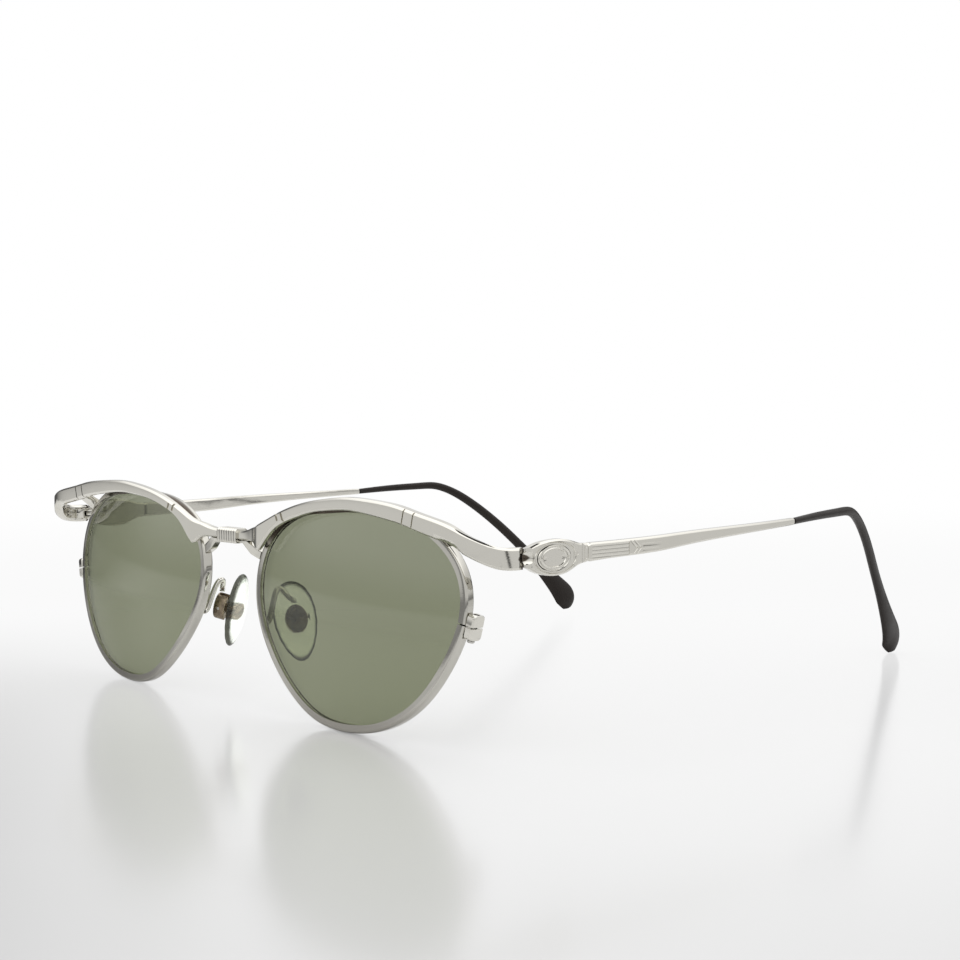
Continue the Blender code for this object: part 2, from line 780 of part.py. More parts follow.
def core_rows():
    """The stretch of the sleeve's centre line that the temple's core wire fills."""
    rows = sleeve_rows()
    return rows[:round(core_reach_share * len(rows))]


def temple_rows():
    """The temple's rows: middle x, place back, middle height, height and thickness."""
    middle_x = side_x - temple_thickness / 2
    start = joint_y + hinge_gap / 2
    head = []
    for share, height in head_shares:
        level = bar_centre_z - head_drop * (height - head_shares[-1][1]) / (1 - head_shares[-1][1])
        head.append((middle_x, start + share * head_length, level, height * head_height, temple_thickness))
    neck = head[-1]
    groove = (
        middle_x, neck[1] + neck_groove_width / 2, neck[2],
        neck[3] - 2 * neck_groove_depth, neck[4] - 2 * neck_groove_depth,
    )
    bar_start = neck[1] + neck_groove_width
    bar_length = joint_y + temple_run - bar_start
    straight, curved = [
        [
            (
                middle_x - toe * temple_toe_in, bar_start + share * bar_length,
                bar_centre_z + rise * temple_rise, height * head_height, thickness * temple_thickness,
            )
            for share, height, thickness, rise, toe in shares
        ]
        for shares in (straight_bar_shares, curved_bar_shares)
    ]
    mouth = sleeve_rows()[0]
    end = (mouth[0], mouth[1] - 2 * seat_gap, *mouth[2:])
    return (
        spline(head, temple_steps) + [groove] + spline(straight, temple_steps)
        + spline([straight[-1]] + curved + [end], temple_steps)[1:]
    )


def temple_section(row):
    x, y, middle, height, thickness = row
    w, h, c = thickness / 2, height / 2, temple_chamfer
    corners = (
        (w, h - c), (w - c, h), (c - w, h), (-w, h - c), (-w, c - h), (c - w, -h), (w - c, -h), (w, c - h),
    )
    return [Vector((x + a, y, middle + b)) for a, b in corners]


def make_temple(name, side, material, pivot):
    """The stamped bar, shouldered at its rear to the core wire that runs on inside the sleeve."""
    bar = [temple_section(row) for row in temple_rows()]
    sides_count = len(bar[0])
    core = oval_rings(core_rows(), sides_count, core_radius)
    shoulder = [point - back * seat_gap for point in core[0]]
    temple = loft(name, bar + [shoulder] + core[1:], material, side, pivot=pivot)
    floor = plaque_ring(1, 0, seat_gap)
    mouth = plaque_ring(1, plaque_recess + cut_overrun, seat_gap)
    recess = loft(name + "_recess", [floor, mouth], material, side, pivot=pivot)
    combine(temple, recess, "DIFFERENCE")
    return temple


def make_sleeve(name, side, material, pivot):
    """Outside from tip to mouth, then the bore back in to its floor."""
    outer = oval_rings(sleeve_rows(), sleeve_sides)
    bore = oval_rings(core_rows(), sleeve_sides, core_radius + bore_play)
    last, before = Vector(core_rows()[-1][:3]), Vector(core_rows()[-2][:3])
    floor = [point + (last - before).normalized() * hinge_gap for point in bore[-1]]
    return loft(name, outer[::-1] + bore + [floor], material, side, pivot=pivot)


def plaque_ring(share, rise, grow=0.0):
    """An oval about the plaque's centre, rise above the floor of its recess."""
    along = joint_y + plaque_place_share * head_length
    centre = Vector((side_x - plaque_recess + rise, along, bar_centre_z - head_drop))
    length = share * plaque_length / 2 + grow
    height = share * plaque_height / 2 + grow
    return [
        centre + back * length * cos(2 * pi * i / plaque_sides) + up * height * sin(2 * pi * i / plaque_sides)
        for i in range(plaque_sides)
    ]


def make_plaque(name, side, material, pivot):
    """A plain stepped oval: an outer band, a groove and a low dome."""
    stand = plaque_recess - seat_gap
    rings = [plaque_ring(share, seat_gap + rise * stand) for share, rise in plaque_step_shares]
    return loft(name, rings, material, side, pivot=pivot)


for old in list(bpy.data.objects):
    bpy.data.objects.remove(old, do_unlink=True)

bright = make_material("bright_plated_metal", (0.80, 0.79, 0.75), 1.0, 0.12)
steel = make_material("screw_steel", (0.62, 0.61, 0.58), 1.0, 0.3)
glass = make_material("grey_green_glass", (0.27, 0.30, 0.20), 0.0, 0.05, 0.85)
silicone = make_material("clear_silicone", (0.86, 0.88, 0.84), 0.0, 0.25, 0.4)
sleeve_black = make_material("black_brown_sleeve", (0.035, 0.03, 0.027), 0.0, 0.4)

make_brow(bright)
make_collar(bright)
for hand, side in (("left", 1), ("right", -1)):
    fold_axis = make_pivot(f"{hand}_fold_axis", Vector((hinge_x, joint_y, bar_centre_z)), side)
    pad_axis = make_pivot(f"{hand}_pad_axis", pad_hinge, side)
    low_knuckle, middle_knuckle, high_knuckle = hinge_levels()
    make_lens(f"{hand}_lens", side, glass)
    make_rim(f"{hand}_rim", side, bright)
    make_rim_lock(hand, side, bright, steel)
    make_bridge_lug(f"{hand}_bridge_lug", side, bright)
    make_end_lug(f"{hand}_end_lug", side, bright)
    make_pad_arm(f"{hand}_pad_arm", side, bright)
    make_pad_box(f"{hand}_pad_box", side, bright)
    make_pad_screw(f"{hand}_pad_screw", side, steel)
    make_stud(f"{hand}_pad_stud", side, steel, pad_axis)
    make_nose_pad(f"{hand}_nose_pad", side, silicone, pad_axis)
    make_hinge_half(
        f"{hand}_front_hinge", (low_knuckle, high_knuckle), -1, hinge_front_leaf_length, side, bright
    )
    make_hinge_half(
        f"{hand}_temple_hinge", (middle_knuckle,), 1, hinge_temple_leaf_length, side, bright, fold_axis
    )
    make_hinge_screw(f"{hand}_hinge_screw", side, steel)
    make_temple(f"{hand}_temple", side, bright, fold_axis)
    make_plaque(f"{hand}_temple_plaque", side, bright, fold_axis)
    make_sleeve(f"{hand}_sleeve", side, sleeve_black, fold_axis)
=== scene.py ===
"""Round metal sunglasses with a sculpted brow bar, grey-green lenses and folding temples.

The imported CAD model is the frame. Each section below makes one piece, or a group of like pieces, in
the order in which a pair is put together, with that piece's sizes, mesh, finish and place on the frame.
Lengths are in metres; the left half is made first and the right half is its mirror image.
"""

from math import cos, pi, radians, sin

import bmesh
import bpy
import numpy as np
from mathutils import Euler, Matrix, Vector


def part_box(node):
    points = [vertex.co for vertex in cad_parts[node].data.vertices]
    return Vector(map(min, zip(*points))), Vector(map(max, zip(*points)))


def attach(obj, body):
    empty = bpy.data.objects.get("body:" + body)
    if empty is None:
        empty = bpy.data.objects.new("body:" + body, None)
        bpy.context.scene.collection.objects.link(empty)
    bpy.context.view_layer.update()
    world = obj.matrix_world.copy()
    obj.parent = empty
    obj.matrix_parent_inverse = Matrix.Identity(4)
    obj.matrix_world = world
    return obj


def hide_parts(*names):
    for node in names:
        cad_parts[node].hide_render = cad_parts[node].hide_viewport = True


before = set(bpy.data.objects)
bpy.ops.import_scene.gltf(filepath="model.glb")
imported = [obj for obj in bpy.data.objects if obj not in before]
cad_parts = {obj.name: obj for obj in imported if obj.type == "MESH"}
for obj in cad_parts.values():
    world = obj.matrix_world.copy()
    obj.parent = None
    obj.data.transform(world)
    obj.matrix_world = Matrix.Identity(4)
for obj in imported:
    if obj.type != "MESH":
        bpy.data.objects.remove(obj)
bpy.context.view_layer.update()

# Brow bar: one pressed strip of plated metal that makes the bridge, both arches and both endpieces.
# Its face is softly domed between two narrow bevels, polished, and scored with pairs of fine lines
# that were cut across it near the ends of each arch.


def open_alone(piece):
    """Open one piece for shaping, with nothing else selected and none of its parts picked."""
    bpy.ops.object.select_all(action="DESELECT")
    piece.hide_set(False)
    piece.select_set(True)
    bpy.context.view_layer.objects.active = piece
    bpy.ops.object.mode_set(mode="EDIT")
    bpy.ops.mesh.select_mode(type="VERT")
    bpy.ops.mesh.select_all(action="DESELECT")


def close(piece, angle=radians(30)):
    """Leave the shaping, with smooth shading except across edges sharper than the angle."""
    bpy.ops.object.mode_set(mode="OBJECT")
    bpy.ops.object.shade_smooth_by_angle(angle=angle)
    return piece


def pick(piece, kind, wanted):
    """Pick the corners, edges or faces of the open piece for which wanted() is true."""
    bpy.ops.mesh.select_mode(type={"verts": "VERT", "edges": "EDGE", "faces": "FACE"}[kind])
    form = bmesh.from_edit_mesh(piece.data)
    for part in getattr(form, kind):
        part.select_set(bool(wanted(part)))
    form.select_flush_mode()
    bmesh.update_edit_mesh(piece.data)


def blank_of(node, name):
    """A blank with a CAD solid's shape, its triangles welded and joined back into four-sided faces."""
    same_point = 0.000002
    blank = bpy.data.objects.new(name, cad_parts[node].data.copy())
    blank.data.materials.clear()
    bpy.context.collection.objects.link(blank)
    open_alone(blank)
    bpy.ops.mesh.select_all(action="SELECT")
    bpy.ops.mesh.customdata_custom_splitnormals_clear()
    bpy.ops.mesh.remove_doubles(threshold=same_point)
    bpy.ops.mesh.mark_sharp(clear=True)
    bpy.ops.mesh.tris_convert_to_quads(face_threshold=radians(40), shape_threshold=radians(180))
    return close(blank)


def hold_edges(piece, hold, sharper_than=radians(28), firm=1.0, firm_angle=radians(70)):
    """Crease the edges that smoothing should keep: lightly at bevels, firmly at square corners."""
    open_alone(piece)
    for low, high, weight in ((sharper_than, firm_angle, hold), (firm_angle, 2 * pi, firm)):
        pick(piece, "edges", lambda edge: low <= edge.calc_face_angle(0.0) < high)
        bpy.ops.transform.edge_crease(value=weight)
    return close(piece)


def modified(piece, kind, name, **settings):
    """Give a piece one modifier and apply it at once."""
    bpy.ops.object.select_all(action="DESELECT")
    piece.select_set(True)
    bpy.context.view_layer.objects.active = piece
    change = piece.modifiers.new(name, kind)
    for setting, value in settings.items():
        setattr(change, setting, value)
    bpy.ops.object.modifier_apply(modifier=name)
    return piece


def smoothed(piece, levels=2, angle=radians(50)):
    """Round a piece over its creases with a subdivision surface."""
    modified(piece, "SUBSURF", "smoothing", levels=levels, render_levels=levels)
    open_alone(piece)
    return close(piece, angle)


def eased(piece, width, segments=3, angle=radians(30)):
    """Break a piece's sharp edges with a small round."""
    modified(
        piece, "BEVEL", "easing", width=width, segments=segments, limit_method="ANGLE", angle_limit=angle,
    )
    open_alone(piece)
    return close(piece, radians(40))


def cut(piece, tool, operation="DIFFERENCE"):
    """Cut one shape out of a piece, or keep what both share, and throw the tool away."""
    modified(piece, "BOOLEAN", "cutting", object=tool, operation=operation, solver="EXACT")
    bpy.data.objects.remove(tool)
    return piece


def bar_tool(centre, size, turn=(0.0, 0.0, 0.0)):
    """A block to cut with, turned about its own centre."""
    bpy.ops.object.select_all(action="DESELECT")
    bpy.ops.mesh.primitive_cube_add(size=1, location=centre, rotation=turn, scale=size)
    bpy.ops.object.transform_apply(location=True, rotation=True, scale=True)
    return bpy.context.object


def mirror_of(piece, name):
    """The right-hand copy of a left-hand piece, with its own mesh."""
    twin = bpy.data.objects.new(name, piece.data.copy())
    bpy.context.collection.objects.link(twin)
    open_alone(twin)
    bpy.ops.mesh.select_all(action="SELECT")
    bpy.ops.transform.mirror(constraint_axis=(True, False, False), center_override=(0, 0, 0))
    bpy.ops.mesh.flip_normals()
    bpy.ops.object.mode_set(mode="OBJECT")
    return twin


def fitted(piece, body, slot, finish, *nodes):
    """Finish a piece and set it on its body in place of the CAD solids that it stands for."""
    piece.data.materials.clear()
    piece.data.materials.append(finish.material)
    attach(piece, body)
    if nodes:
        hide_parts(*nodes)
    return piece


def fitted_pair(piece, bodies, slot, finish, *nodes):
    """Fit a left-hand piece and its mirror image; the names of the nodes are those of the left side."""
    twin = mirror_of(piece, piece.name.replace("left", "right"))
    fitted(piece, bodies[0], slot, finish, *nodes)
    fitted(twin, bodies[1], slot, finish, *(node.replace("left", "right") for node in nodes))
    return piece, twin


class Flow:
    """A value or colour on its way through a recipe's nodes, which can be reckoned with like a number."""

    def __init__(self, recipe, socket):
        self.recipe, self.socket = recipe, socket

    def reckon(self, operation, *values):
        """The result of one Math node that is fed with the given values."""
        return self.recipe.node("ShaderNodeMath", {"operation": operation}, dict(enumerate(values)))

    def __add__(self, other):
        return self.reckon("ADD", self, other)

    __radd__ = __add__

    def __sub__(self, other):
        return self.reckon("SUBTRACT", self, other)

    def __rsub__(self, other):
        return self.reckon("SUBTRACT", other, self)

    def __mul__(self, other):
        return self.reckon("MULTIPLY", self, other)

    __rmul__ = __mul__

    def __truediv__(self, other):
        return self.reckon("DIVIDE", self, other)

    def __rtruediv__(self, other):
        return self.reckon("DIVIDE", other, self)

    def __pow__(self, other):
        return self.reckon("POWER", self, other)

    def __abs__(self):
        return self.reckon("ABSOLUTE", self)

    def at_most(self, other):
        return self.reckon("MINIMUM", self, other)

    def at_least(self, other):
        return self.reckon("MAXIMUM", self, other)

    def ramp(self, start, end, low=0.0, high=1.0):
        """Low before start, high after end, and an even blend in between."""
        return self.recipe.node(
            "ShaderNodeMapRange", {"interpolation_type": "SMOOTHSTEP"},
            {0: self, 1: start, 2: end, 3: low, 4: high},
        )


class Recipe:
    """Nodes of one tree, laid one after the other."""

    def __init__(self, tree):
        self.tree = tree

    def node(self, kind, settings=None, values=None, output=0):
        """Add a node of any kind, with its settings and with numbers, colours or flows on its sockets."""
        made = self.tree.nodes.new(kind)
        for setting, value in (settings or {}).items():
            setattr(made, setting, value)
        for socket, value in (values or {}).items():
            if isinstance(value, Flow):
                self.tree.links.new(value.socket, made.inputs[socket])
            else:
                made.inputs[socket].default_value = value
        return Flow(self, made.outputs[output])

    def place(self):
        """Where a point of the surface is, in the object's own space."""
        return self.node("ShaderNodeTexCoord", output="Object")

    def along(self, axis, place=None):
        """One coordinate of a place, by default that of the surface."""
        return self.node("ShaderNodeSeparateXYZ", values={0: place or self.place()}, output=axis)

    def dot(self, place, way):
        return self.node(
            "ShaderNodeVectorMath", {"operation": "DOT_PRODUCT"}, {0: place, 1: tuple(way)}, "Value"
        )

    def cloud(self, scale, detail=2.0, stretch=(1.0, 1.0, 1.0)):
        """Soft noise about one half, with features about 1/scale long."""
        where = self.node("ShaderNodeMapping", values={"Vector": self.place(), "Scale": stretch})
        return self.node(
            "ShaderNodeTexNoise", values={"Vector": where, "Scale": scale, "Detail": detail, "Roughness": 0.5}
        )

    def blend(self, share, first, second):
        """Mix two colours; share is how much of the second is seen."""
        return self.node("ShaderNodeMix", {"data_type": "RGBA"}, {0: share, 6: first, 7: second}, 2)

    def ray(self, kind):
        """One for the light of one kind that the renderer follows, nought for any other."""
        return self.node("ShaderNodeLightPath", output=f"Is {kind} Ray")

    def mirrored(self):
        """One for light that a polished surface threw here, nought for light that came through glass."""
        return self.ray("Glossy") * (1.0 - self.ray("Transmission"))

    def shade(self, share, first, second):
        """Mix two shaders; share is how much of the second is seen."""
        mixed = self.node("ShaderNodeMixShader", values={0: share})
        self.tree.links.new(first, mixed.socket.node.inputs[1])
        self.tree.links.new(second, mixed.socket.node.inputs[2])
        return mixed


class Finish(Recipe):
    """One procedural material: what is the same all over it stands on the shader, the rest flows in."""

    def __init__(self, name, **even):
        self.material = bpy.data.materials.new(name)
        self.material.use_nodes = True
        super().__init__(self.material.node_tree)
        self.shader = self.tree.nodes["Principled BSDF"]
        for socket, value in even.items():
            self.shader.inputs[socket.replace("_", " ")].default_value = value

    def feed(self, socket, flow):
        """Let a flow into one of the shader's sockets."""
        self.tree.links.new(flow.socket, self.shader.inputs[socket])

    def relief(self, height, depth):
        """Raise and sink the surface by height, where 1 stands for depth."""
        self.feed("Normal", self.node(
            "ShaderNodeBump", values={"Strength": 1.0, "Distance": depth, "Height": height}
        ))

    def close_with(self, mixed):
        """Put a mix of shaders in the place of the plain one."""
        self.tree.links.new(mixed.socket, self.tree.nodes["Material Output"].inputs["Surface"])


hinge_axis = Vector((0.06345, -0.05981375, 0.03034658))
# The dark brown of painted shade, used in the joints of the temples and on the rims.
painted_shade_colour = (0.085, 0.07, 0.055, 1)
joint_line = hinge_axis.y - 0.0002
blot_length, blot_height = 0.0015, 0.0006
slit_core, slit_edge = 0.0002, 0.0004
joint_inner, joint_outer = 0.0640, 0.0650


def joint_shade(aside, along, level, grain):
    """Painted shade in the joints where the temples meet their endpieces: a soft oval blot, and a slit across
    the whole bar.
    """
    off, rise = abs(along - joint_line), abs(level - hinge_axis.z)
    ragged = (grain - 0.5) * 0.5
    blot = ((off / blot_length) ** 2.0 + (rise / blot_height) ** 2.0 + ragged).ramp(0.7, 1.15, 1.0, 0.0)
    return blot.at_least(off.ramp(slit_core, slit_edge, 1.0, 0.0)) * aside.ramp(joint_inner, joint_outer)


def plated_metal(name, painted_shade, bright=1.0):
    """Warm silver plating, polished on a soft wheel: faint smears, hairlines and a slight ripple.

    The second argument tells where shade is painted in dark brown; bright below one is painted shade all over.
    """
    finish = Finish(name, Metallic=1.0)
    smear = finish.cloud(90.0, 3.0)
    hairline = finish.cloud(700.0, 2.0, (1.0, 1.0, 9.0))
    ripple = finish.cloud(260.0, 1.0)
    place = finish.place()
    aside, along, level = (finish.along(axis, place) for axis in "XYZ")
    shade_mask = painted_shade(abs(aside), along, level, hairline)
    deep, pale = (
        (red * bright, green * bright, blue * bright, 1)
        for red, green, blue in ((0.60, 0.582, 0.525), (0.70, 0.685, 0.635))
    )
    silver = finish.blend((smear - 0.5) * 0.7 + 0.5, deep, pale)
    finish.feed("Base Color", finish.blend(shade_mask, silver, painted_shade_colour))
    finish.feed("Roughness", smear.ramp(0.35, 0.75, 0.06, 0.11) + (hairline - 0.5) * 0.05 + shade_mask * 0.12)
    finish.relief(ripple + hairline * 0.12, 0.000012)
    return finish


plating = plated_metal("plated_metal", joint_shade)
side_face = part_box("left_temple")[1].x


def rod_tool(start, end, radius, count=32):
    """A round rod to cut with, from start to end."""
    start, end = Vector(start), Vector(end)
    bpy.ops.object.select_all(action="DESELECT")
    bpy.ops.mesh.primitive_cylinder_add(
        vertices=count, radius=radius, depth=(end - start).length, location=(start + end) / 2,
        rotation=(end - start).to_track_quat("Z", "Y").to_euler(),
    )
    bpy.ops.object.transform_apply(location=True, rotation=True, scale=True)
    return bpy.context.object


def ball_tool(centre, radius):
    """A ball to cut with."""
    bpy.ops.object.select_all(action="DESELECT")
    bpy.ops.mesh.primitive_uv_sphere_add(segments=32, ring_count=20, radius=radius, location=centre)
    bpy.ops.object.transform_apply(location=True, rotation=True, scale=True)
    return bpy.context.object


hollow_radius, hollow_stand, hollow_low, hollow_high = 0.0019, 0.0013, 0.024, 0.037
dimple_radius, dimple_stand, dimple_back = 0.0015, 0.0005, 0.0002


def file_joint(piece, side=1):
    """File the hollow and the dimple that run across both ends where a temple meets its endpiece."""
    x, y = side_face + hollow_stand, hinge_axis.y
    for tool in (
        rod_tool((x, y, hollow_low), (x, y, hollow_high), hollow_radius, 96),
        ball_tool((side_face + dimple_stand, y + dimple_back, hinge_axis.z), dimple_radius),
    ):
        tool.data.transform(Matrix.Diagonal((side, 1, 1, 1)))
        cut(piece, tool)


def lower_corner(piece, along, search=0.0008):
    """The front lower corner of the bar at a distance along it."""
    near = [vert.co for vert in piece.data.vertices if abs(vert.co.x - along) < search]
    return min(near, key=lambda point: point.y + point.z)


line_places, line_drop, line_lean = (0.0491, 0.0515), 0.004, radians(14)
line_size = (0.00026, 0.0008, 0.012)
mark_places, mark_drop, mark_lean = (0.0162, 0.0178), 0.0042, radians(-24)
mark_size = (0.0005, 0.0009, 0.0015)
leaf_start, leaf_end, leaf_radius, leaf_depth, leaf_half_width = 0.0545, 0.0605, 0.0104, 0.0003, 0.004

brow = blank_of("brow_bar", "brow_bar_polished")
smoothed(hold_edges(brow, 0.62, radians(22)), 2, radians(60))
brow_face, brow_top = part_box("brow_bar")[0].y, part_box("brow_bar")[1].z
leaf_first, leaf_last = lower_corner(brow, leaf_start), lower_corner(brow, leaf_end)
leaf_out = Vector((0, -1, -1)).normalized()
leaf_run = (leaf_last - leaf_first).normalized()
leaf_axis = leaf_run.cross(leaf_out).normalized() * leaf_half_width
leaf_centre = (leaf_first + leaf_last) / 2 + leaf_out * (leaf_radius - leaf_depth)
for side in (1, -1):
    flip = Matrix.Diagonal((side, 1, 1))
    for places, drop, size, lean in (
        (line_places, line_drop, line_size, line_lean), (mark_places, mark_drop, mark_size, mark_lean)
    ):
        for place in places:
            cut(brow, bar_tool((side * place, brow_face, brow_top - drop), size, (0, side * lean, 0)))
    cut(brow, rod_tool(flip @ (leaf_centre - leaf_axis), flip @ (leaf_centre + leaf_axis), leaf_radius, 256))
    file_joint(brow, side)
open_alone(brow)
close(brow, radians(50))
fitted(brow, "front", "bright_metal", plating, "brow_bar")

# Bridge collar: a short sleeve of the same plated metal, rolled with upright ribs and pressed round the
# middle of the bar. Its inner wall is drawn in, so that no gap shows at its two ends.

bore_share, bore_shrink = 0.39, 0.87
collar = blank_of("bridge_collar", "bridge_collar_ribbed")
collar_low, collar_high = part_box("bridge_collar")
collar_middle = (collar_low + collar_high) / 2
open_alone(collar)
pick(collar, "verts", lambda vert: max(
    abs(vert.co.y - collar_middle.y) / (collar_high.y - collar_low.y),
    abs(vert.co.z - collar_middle.z) / (collar_high.z - collar_low.z),
) < bore_share)
bpy.ops.transform.resize(value=(1, bore_shrink, bore_shrink), center_override=collar_middle)
close(collar)
smoothed(hold_edges(collar, 0.5, radians(40)), 2, radians(60))
fitted(collar, "front", "bright_metal", plating, "bridge_collar")

# Rims: grooved wire of plated metal, bent round each lens and split at the temple side, where two
# small blocks are brazed to its ends and a screw draws them together. The edges are softly rounded.

rim_ball = Vector((0.0257, 0.0401, 0.0129))
rim_back, rim_front = 0.1092, 0.1098
under_bar_low, under_bar_high, under_bar_inner, under_bar_outer = 0.0285, 0.0312, 0.040, 0.048
foot_low, foot_high = 0.0008, 0.0085


def rim_shade(aside, along, level, _):
    """Painted shade on the rims: at the front close under the bar, and less so at the foot they stand on.

    A rim follows the ball that its lens is ground to, so its front lies farther from the ball's middle.
    """
    out = ((aside - rim_ball.x) ** 2.0 + (along - rim_ball.y) ** 2.0 + (level - rim_ball.z) ** 2.0) ** 0.5
    below = level.ramp(under_bar_low, under_bar_high) * aside.ramp(under_bar_inner, under_bar_outer, 1.0, 0.0)
    return (below * out.ramp(rim_back, rim_front)).at_least(level.ramp(foot_low, foot_high, 0.42, 0.0))


sides = ("front", "front")
rim = blank_of("left_rim", "left_rim_wire")
smoothed(hold_edges(rim, 0.35, radians(25)), 2, radians(60))
# The rims take a darker copy of the plating, at 0.8 of its brightness, as painted shade.
fitted_pair(rim, sides, "bright_metal", plated_metal("rim_plating", rim_shade, 0.8), "left_rim")


def lie_of(node):
    """The middle of a long thin CAD solid, the direction of its length, and that length."""
    points = np.array([tuple(vert.co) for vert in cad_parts[node].data.vertices])
    middle = (points.max(0) + points.min(0)) / 2
    lengthwise = Vector(np.linalg.svd(points - points.mean(0), full_matrices=False)[2][0])
    reach = (points - middle) @ np.array(lengthwise)
    off_middle = float(reach.max() + reach.min()) / 2
    return Vector(middle) + lengthwise * off_middle, lengthwise, float(np.ptp(reach))


block_stretch, block_round = 1.12, 0.00032
for word in ("upper", "lower"):
    block = blank_of(f"left_rim_lock_{word}", f"left_rim_block_{word}")
    open_alone(block)
    bpy.ops.mesh.select_all(action="SELECT")
    bpy.ops.transform.resize(value=(block_stretch, 1, 1), center_override=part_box(f"left_rim_lock_{word}")[1])
    close(block)
    eased(block, block_round, 4, radians(50))
    fitted_pair(block, sides, "bright_metal", plating, f"left_rim_lock_{word}")


def turned_steel(name):
    """Screws turned from steel rod: fine rings from the tool and a duller surface than the plating."""
    finish = Finish(name, Metallic=1.0)
    grain = finish.cloud(1600.0, 3.0, (1.0, 1.0, 3.0))
    finish.feed("Base Color", finish.blend(grain, (0.40, 0.39, 0.36, 1), (0.62, 0.61, 0.58, 1)))
    finish.feed("Roughness", grain.ramp(0.3, 0.7, 0.22, 0.38))
    finish.relief(grain, 0.00001)
    return finish


steel = turned_steel("turned_steel")


def make_screw(name, node, head_radius, head_height, shank_radius):
    """A turned screw in a CAD screw's place, with a domed head and a sawn slot."""
    middle, lengthwise, reach = lie_of(node)
    points = [vert.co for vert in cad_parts[node].data.vertices]
    wide_end = max(points, key=lambda p: ((p - middle) - lengthwise * (p - middle).dot(lengthwise)).length)
    if (wide_end - middle).dot(lengthwise) < 0:
        lengthwise = -lengthwise
    turn = lengthwise.to_track_quat("Z", "Y").to_matrix().to_4x4()
    bpy.ops.object.select_all(action="DESELECT")
    bpy.ops.mesh.primitive_cylinder_add(vertices=40, radius=shank_radius, depth=reach - head_height)
    screw = bpy.context.object
    screw.name = screw.data.name = name
    open_alone(screw)
    bpy.ops.mesh.select_all(action="SELECT")
    bpy.ops.transform.translate(value=(0, 0, -head_height / 2))
    top = reach / 2 - head_height
    pick(screw, "faces", lambda face: face.normal.z > 0.9)
    bpy.ops.mesh.extrude_region_move(TRANSFORM_OT_translate={"value": (0, 0, 0)})
    grow = head_radius / shank_radius
    bpy.ops.transform.resize(value=(grow, grow, 1), center_override=(0, 0, top))
    for rise_share, width_share in ((0.62, 1.0), (0.26, 0.84), (0.12, 0.6)):
        bpy.ops.mesh.extrude_region_move(TRANSFORM_OT_translate={"value": (0, 0, head_height * rise_share)})
        bpy.ops.transform.resize(value=(width_share, width_share, 1), center_override=(0, 0, top))
    close(screw)
    slot = (head_radius * 0.34, head_radius * 2.4, head_height * 0.9)
    cut(screw, bar_tool((0, 0, top + head_height), slot))
    screw.data.transform(Matrix.Translation(middle) @ turn)
    return eased(screw, head_radius * 0.045, 2, radians(35))


lock_screw = make_screw(
    "left_rim_block_screw", "left_rim_lock_screw",
    head_radius=0.0006, head_height=0.0004, shank_radius=0.00035,
)
fitted_pair(lock_screw, sides, "screw_steel", steel, "left_rim_lock_screw")

# Lenses: round blanks of grey-green mineral glass, curved to one radius and polished on both faces,
# then cut to the rim's outline.

lens_curve_radius, lens_thickness = 0.107, 0.0014
lens_wrap, lens_tilt = radians(4.1), radians(3.1)
lens_middle = Vector((0.03355, -0.06927375, 0.018812))
blank_cap = radians(16)
pane_share = (0.9905, 0.987, 0)
foot_level, brow_level = 0.002, 0.036


def tinted_glass(name):
    """Glass dyed through its mass; the tint is a shade paler and cooler towards the brow."""
    finish = Finish(name, Transmission_Weight=1.0, IOR=1.5, Roughness=0.0, Specular_IOR_Level=0.3)
    streak = (finish.cloud(60.0, 2.0) - 0.5) * 0.06
    share = finish.along("Z").ramp(foot_level, brow_level) + streak
    tint = finish.blend(share, (0.218, 0.236, 0.146, 1), (0.238, 0.253, 0.176, 1))
    finish.feed("Base Color", tint)
    clear = finish.node("ShaderNodeBsdfTransparent", values={"Color": tint})
    finish.close_with(finish.shade(finish.ray("Shadow"), finish.shader.outputs[0], clear.socket))
    return finish


glass = tinted_glass("tinted_glass")
across = Vector((cos(lens_wrap), sin(lens_wrap), 0))
rearward = Vector((0, sin(lens_tilt), cos(lens_tilt))).cross(across).normalized()
lens_turn = Matrix((across, rearward.cross(across), rearward)).transposed()
lens_place = Matrix.Translation(lens_middle) @ lens_turn.to_4x4()


def lens_depth(point):
    """How far a point lies behind the lens's front surface, in the lens's own directions."""
    return point.z - (point.x**2 + point.y**2) / (2 * lens_curve_radius)


bpy.ops.object.select_all(action="DESELECT")
bpy.ops.mesh.primitive_uv_sphere_add(segments=128, ring_count=320, radius=lens_curve_radius)
lens = bpy.context.object
lens.name = lens.data.name = "left_lens_glass"
open_alone(lens)
pick(lens, "verts", lambda vert: vert.co.z > -cos(blank_cap) * lens_curve_radius)
bpy.ops.mesh.delete(type="VERT")
bpy.ops.mesh.select_all(action="SELECT")
bpy.ops.transform.translate(value=(0, 0, lens_curve_radius))
close(lens)
modified(lens, "SOLIDIFY", "glass", thickness=lens_thickness, offset=-1.0, use_even_offset=True)

outline = blank_of("left_lens", "lens_outline")
outline.data.transform(lens_place.inverted())
open_alone(outline)
pick(outline, "verts", lambda vert: abs(lens_depth(vert.co) - lens_thickness / 2) > lens_thickness / 6)
bpy.ops.mesh.delete(type="VERT")
bpy.ops.mesh.select_all(action="SELECT")
bpy.ops.transform.resize(value=pane_share, center_override=(0, 0, -lens_thickness))
bpy.ops.mesh.edge_face_add()
bpy.ops.mesh.extrude_region_move(TRANSFORM_OT_translate={"value": (0, 0, 8 * lens_thickness)})
bpy.ops.mesh.select_all(action="SELECT")
bpy.ops.mesh.normals_make_consistent(inside=False)
close(outline)
cut(lens, outline, "INTERSECT")
lens.data.transform(lens_place)
open_alone(lens)
close(lens, radians(30))
fitted_pair(lens, sides, "lens_glass", glass, "left_lens")

# Lugs: short stubs that are soldered between the bar and the rims, two at the bridge and one behind
# each endpiece, with their solder fillets wiped smooth.

